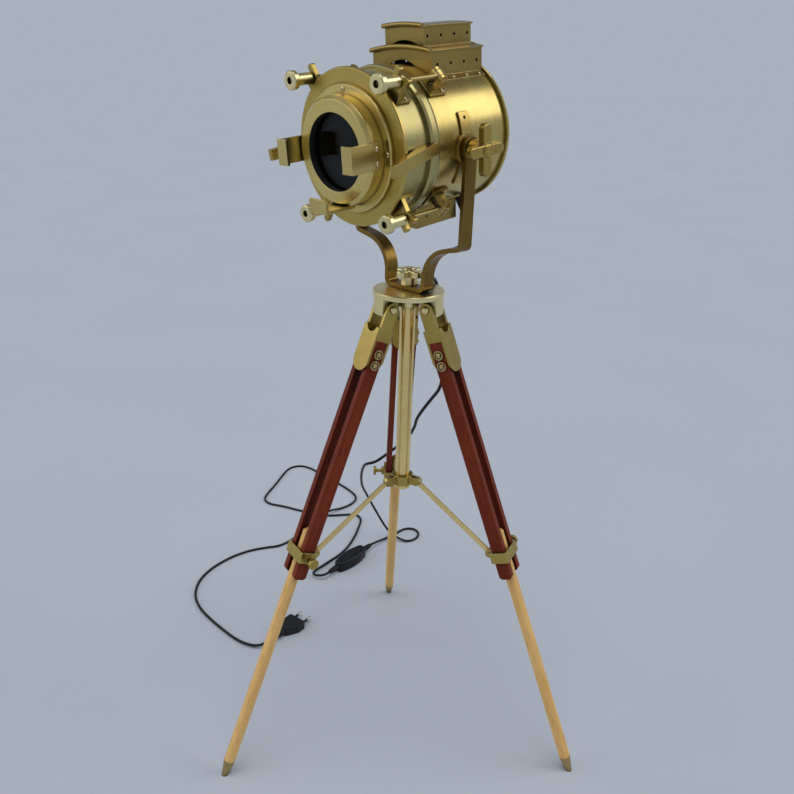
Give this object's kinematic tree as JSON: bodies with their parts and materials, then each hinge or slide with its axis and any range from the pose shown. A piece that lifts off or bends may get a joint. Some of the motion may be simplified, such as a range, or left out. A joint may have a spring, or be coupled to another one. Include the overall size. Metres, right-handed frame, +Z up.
{
  "type": "tripod spotlight",
  "caption": "Brass searchlight lamp in a tilting yoke on a folding wooden tripod, with hinged front clamps, filter clips, telescoping legs, cord, inline switch and plug.",
  "frame": {"origin": "on the floor under the centre column, where the pan axis meets the floor", "axes": "+Z up, the lamp faces -Y, the tilt axis lies along X"},
  "size_m": [0.8574, 0.5857, 0.8305],
  "materials": {
    "brass_satin": "antique satin, brown patina",
    "brass_bright": "paler satin",
    "wood_dark": "dark red-brown gloss varnish",
    "wood_light": "golden varnish",
    "clear_glass": "clear",
    "bulb_glass": "frosted",
    "black_plastic": "satin black",
    "black_flex": "satin black",
    "nickel_steel": "nickel plate"
  },
  "bodies": {
    "tripod_head": {"tripod_head": "brass_satin", "column": "brass_bright", "cord_drop": "black_flex", "cord_tail": "black_flex", "switch_body": "black_plastic", "plug_body": "black_plastic", "plug_pins": "nickel_steel"},
    "yoke": {"yoke": "brass_satin", "cord_head": "black_flex"},
    "lamp_head": {"rear_drum": "brass_satin", "rear_cover": "brass_satin", "front_barrel": "brass_satin", "front_flange": "brass_satin", "lens_ring": "brass_satin", "bezel_ring": "brass_satin", "lens_glass": "clear_glass", "lens_retainer": "brass_satin", "bulb": "bulb_glass", "lamp_holder": "black_plastic", "chimney_lower": "brass_satin", "chimney_upper": "brass_satin", "vent_box": "brass_satin", "filter_clips": "brass_satin", "side_handles": "brass_satin", "hinge_lugs": "brass_satin", "fork_lugs": "brass_satin", "pivot_straps": "brass_satin", "head_screws": "brass_bright", "cable_gland": "black_plastic"},
    "tilt_knob_left": {"tilt_knob_left": "brass_satin"},
    "tilt_knob_right": {"tilt_knob_right": "brass_satin"},
    "pan_knob": {"pan_knob": "brass_satin"},
    "spider_hub": {"spider_hub": "brass_bright"},
    "switch_rocker": {"switch_rocker": "black_plastic"},
    "leg_1": {"leg_bracket_1": "brass_satin", "leg_rails_1": "wood_dark", "leg_clamp_1": "brass_satin"},
    "lower_leg_1": {"lower_leg_1": "wood_light"},
    "clamp_screw_1": {"clamp_screw_1": "brass_bright"},
    "leg_2": {"leg_bracket_2": "brass_satin", "leg_rails_2": "wood_dark", "leg_clamp_2": "brass_satin"},
    "lower_leg_2": {"lower_leg_2": "wood_light"},
    "clamp_screw_2": {"clamp_screw_2": "brass_bright"},
    "leg_3": {"leg_bracket_3": "brass_satin", "leg_rails_3": "wood_dark", "leg_clamp_3": "brass_satin"},
    "lower_leg_3": {"lower_leg_3": "wood_light"},
    "clamp_screw_3": {"clamp_screw_3": "brass_bright"},
    "strut_1": {"strut_1": "brass_bright"},
    "strut_2": {"strut_2": "brass_bright"},
    "strut_3": {"strut_3": "brass_bright"},
    "swing_bolt_1": {"swing_bolt_1": "brass_bright"},
    "thumb_nut_1": {"thumb_nut_1": "brass_bright"},
    "swing_bolt_2": {"swing_bolt_2": "brass_bright"},
    "thumb_nut_2": {"thumb_nut_2": "brass_bright"},
    "swing_bolt_3": {"swing_bolt_3": "brass_bright"},
    "thumb_nut_3": {"thumb_nut_3": "brass_bright"},
    "swing_bolt_4": {"swing_bolt_4": "brass_bright"},
    "thumb_nut_4": {"thumb_nut_4": "brass_bright"}
  },
  "joints": [
    {"name": "head_pan", "type": "hinge", "parent": "tripod_head", "child": "yoke", "pos_m": [0, 0, 0.566], "axis": [0, 0, 1], "range_deg": [-90, 90], "deforming": ["cord_drop"]},
    {"name": "head_tilt", "type": "hinge", "parent": "yoke", "child": "lamp_head", "pos_m": [0, 0, 0.716], "axis": [-1, 0, 0], "range_deg": [-30, 50], "deforming": ["cord_head"]},
    {"name": "pan_knob_turn", "type": "hinge", "parent": "tripod_head", "child": "pan_knob", "pos_m": [0, 0, 0.566], "axis": [0, 0, 1], "range_deg": [0, 360]},
    {"name": "tilt_knob_left_turn", "type": "hinge", "parent": "lamp_head", "child": "tilt_knob_left", "pos_m": [0.0764, 0, 0.716], "axis": [1, 0, 0], "range_deg": [0, 360]},
    {"name": "tilt_knob_right_turn", "type": "hinge", "parent": "lamp_head", "child": "tilt_knob_right", "pos_m": [-0.0764, 0, 0.716], "axis": [-1, 0, 0], "range_deg": [0, 360]},
    {"name": "leg_fold_1", "type": "hinge", "parent": "tripod_head", "child": "leg_1", "pos_m": [0.02631, 0.00801, 0.549], "axis": [-0.2914, 0.9566, 0], "range_deg": [0, 14]},
    {"name": "lower_leg_slide_1", "type": "slide", "parent": "leg_1", "child": "lower_leg_1", "axis": [-0.3453, -0.1052, 0.9326], "range_m": [0, 0.15]},
    {"name": "clamp_screw_turn_1", "type": "hinge", "parent": "leg_1", "child": "clamp_screw_1", "pos_m": [0.12304, 0.05206, 0.27678], "axis": [-0.2914, 0.9566, 0], "range_deg": [0, 360]},
    {"name": "leg_fold_2", "type": "hinge", "parent": "tripod_head", "child": "leg_2", "pos_m": [-0.02009, 0.01878, 0.549], "axis": [-0.6828, -0.7306, 0], "range_deg": [0, 14]},
    {"name": "lower_leg_slide_2", "type": "slide", "parent": "leg_2", "child": "lower_leg_2", "axis": [0.2637, -0.2465, 0.9326], "range_m": [0, 0.15]},
    {"name": "clamp_screw_turn_2", "type": "hinge", "parent": "leg_2", "child": "clamp_screw_2", "pos_m": [-0.1066, 0.08052, 0.27678], "axis": [-0.6828, -0.7306, 0], "range_deg": [0, 360]},
    {"name": "leg_fold_3", "type": "hinge", "parent": "tripod_head", "child": "leg_3", "pos_m": [-0.00621, -0.02679, 0.549], "axis": [0.9741, -0.226, 0], "range_deg": [0, 14]},
    {"name": "lower_leg_slide_3", "type": "slide", "parent": "leg_3", "child": "lower_leg_3", "axis": [0.0816, 0.3516, 0.9326], "range_m": [0, 0.15]},
    {"name": "clamp_screw_turn_3", "type": "hinge", "parent": "leg_3", "child": "clamp_screw_3", "pos_m": [-0.01644, -0.13258, 0.27678], "axis": [0.9741, -0.226, 0], "range_deg": [0, 360]},
    {"name": "hub_slide", "type": "slide", "parent": "tripod_head", "child": "spider_hub", "axis": [0, 0, 1], "range_m": [0, 0.0352]},
    {"name": "strut_turn_1", "type": "hinge", "parent": "spider_hub", "child": "strut_1", "pos_m": [0.01865, 0.00568, 0.337], "axis": [-0.2914, 0.9566, 0], "range_deg": [0, 42.39]},
    {"name": "strut_turn_2", "type": "hinge", "parent": "spider_hub", "child": "strut_2", "pos_m": [-0.01425, 0.01331, 0.337], "axis": [-0.6828, -0.7306, 0], "range_deg": [0, 42.39]},
    {"name": "strut_turn_3", "type": "hinge", "parent": "spider_hub", "child": "strut_3", "pos_m": [-0.00441, -0.019, 0.337], "axis": [0.9741, -0.226, 0], "range_deg": [0, 42.39]},
    {"name": "swing_bolt_turn_1", "type": "hinge", "parent": "lamp_head", "child": "swing_bolt_1", "pos_m": [0.058, -0.03077, 0.77919], "axis": [-0.7193, -0.0726, 0.6909], "range_deg": [0, 95]},
    {"name": "thumb_nut_turn_1", "type": "hinge", "parent": "swing_bolt_1", "child": "thumb_nut_1", "pos_m": [0.058, -0.08448, 0.77355], "axis": [0, -0.9945, -0.1045], "range_deg": [0, 360]},
    {"name": "swing_bolt_turn_2", "type": "hinge", "parent": "lamp_head", "child": "swing_bolt_2", "pos_m": [-0.058, -0.03077, 0.77919], "axis": [-0.7193, 0.0726, -0.6909], "range_deg": [0, 95]},
    {"name": "thumb_nut_turn_2", "type": "hinge", "parent": "swing_bolt_2", "child": "thumb_nut_2", "pos_m": [-0.058, -0.08448, 0.77355], "axis": [0, -0.9945, -0.1045], "range_deg": [0, 360]},
    {"name": "swing_bolt_turn_3", "type": "hinge", "parent": "lamp_head", "child": "swing_bolt_3", "pos_m": [-0.05367, -0.01781, 0.65584], "axis": [0.766, 0.0672, -0.6393], "range_deg": [0, 95]},
    {"name": "thumb_nut_turn_3", "type": "hinge", "parent": "swing_bolt_3", "child": "thumb_nut_3", "pos_m": [-0.05367, -0.07151, 0.6502], "axis": [0, -0.9945, -0.1045], "range_deg": [0, 360]},
    {"name": "swing_bolt_turn_4", "type": "hinge", "parent": "lamp_head", "child": "swing_bolt_4", "pos_m": [0.05904, -0.01832, 0.66074], "axis": [0.7071, -0.0739, 0.7032], "range_deg": [0, 95]},
    {"name": "thumb_nut_turn_4", "type": "hinge", "parent": "swing_bolt_4", "child": "thumb_nut_4", "pos_m": [0.05904, -0.07203, 0.65509], "axis": [0, -0.9945, -0.1045], "range_deg": [0, 360]},
    {"name": "switch_rock", "type": "hinge", "parent": "tripod_head", "child": "switch_rocker", "pos_m": [-0.278, 0.1733, 0.016], "axis": [-0.993, -0.1184, 0], "range_deg": [0, 10]}
  ],
  "couplings": [
    {"joint": "leg_fold_2", "follows": "leg_fold_1", "ratio": 1},
    {"joint": "leg_fold_3", "follows": "leg_fold_1", "ratio": 1},
    {"joint": "hub_slide", "follows": "leg_fold_1", "m_per_rad": 0.14208},
    {"joint": "strut_turn_1", "follows": "leg_fold_1", "ratio": 3.0208},
    {"joint": "strut_turn_2", "follows": "leg_fold_1", "ratio": 3.0208},
    {"joint": "strut_turn_3", "follows": "leg_fold_1", "ratio": 3.0208}
  ]
}
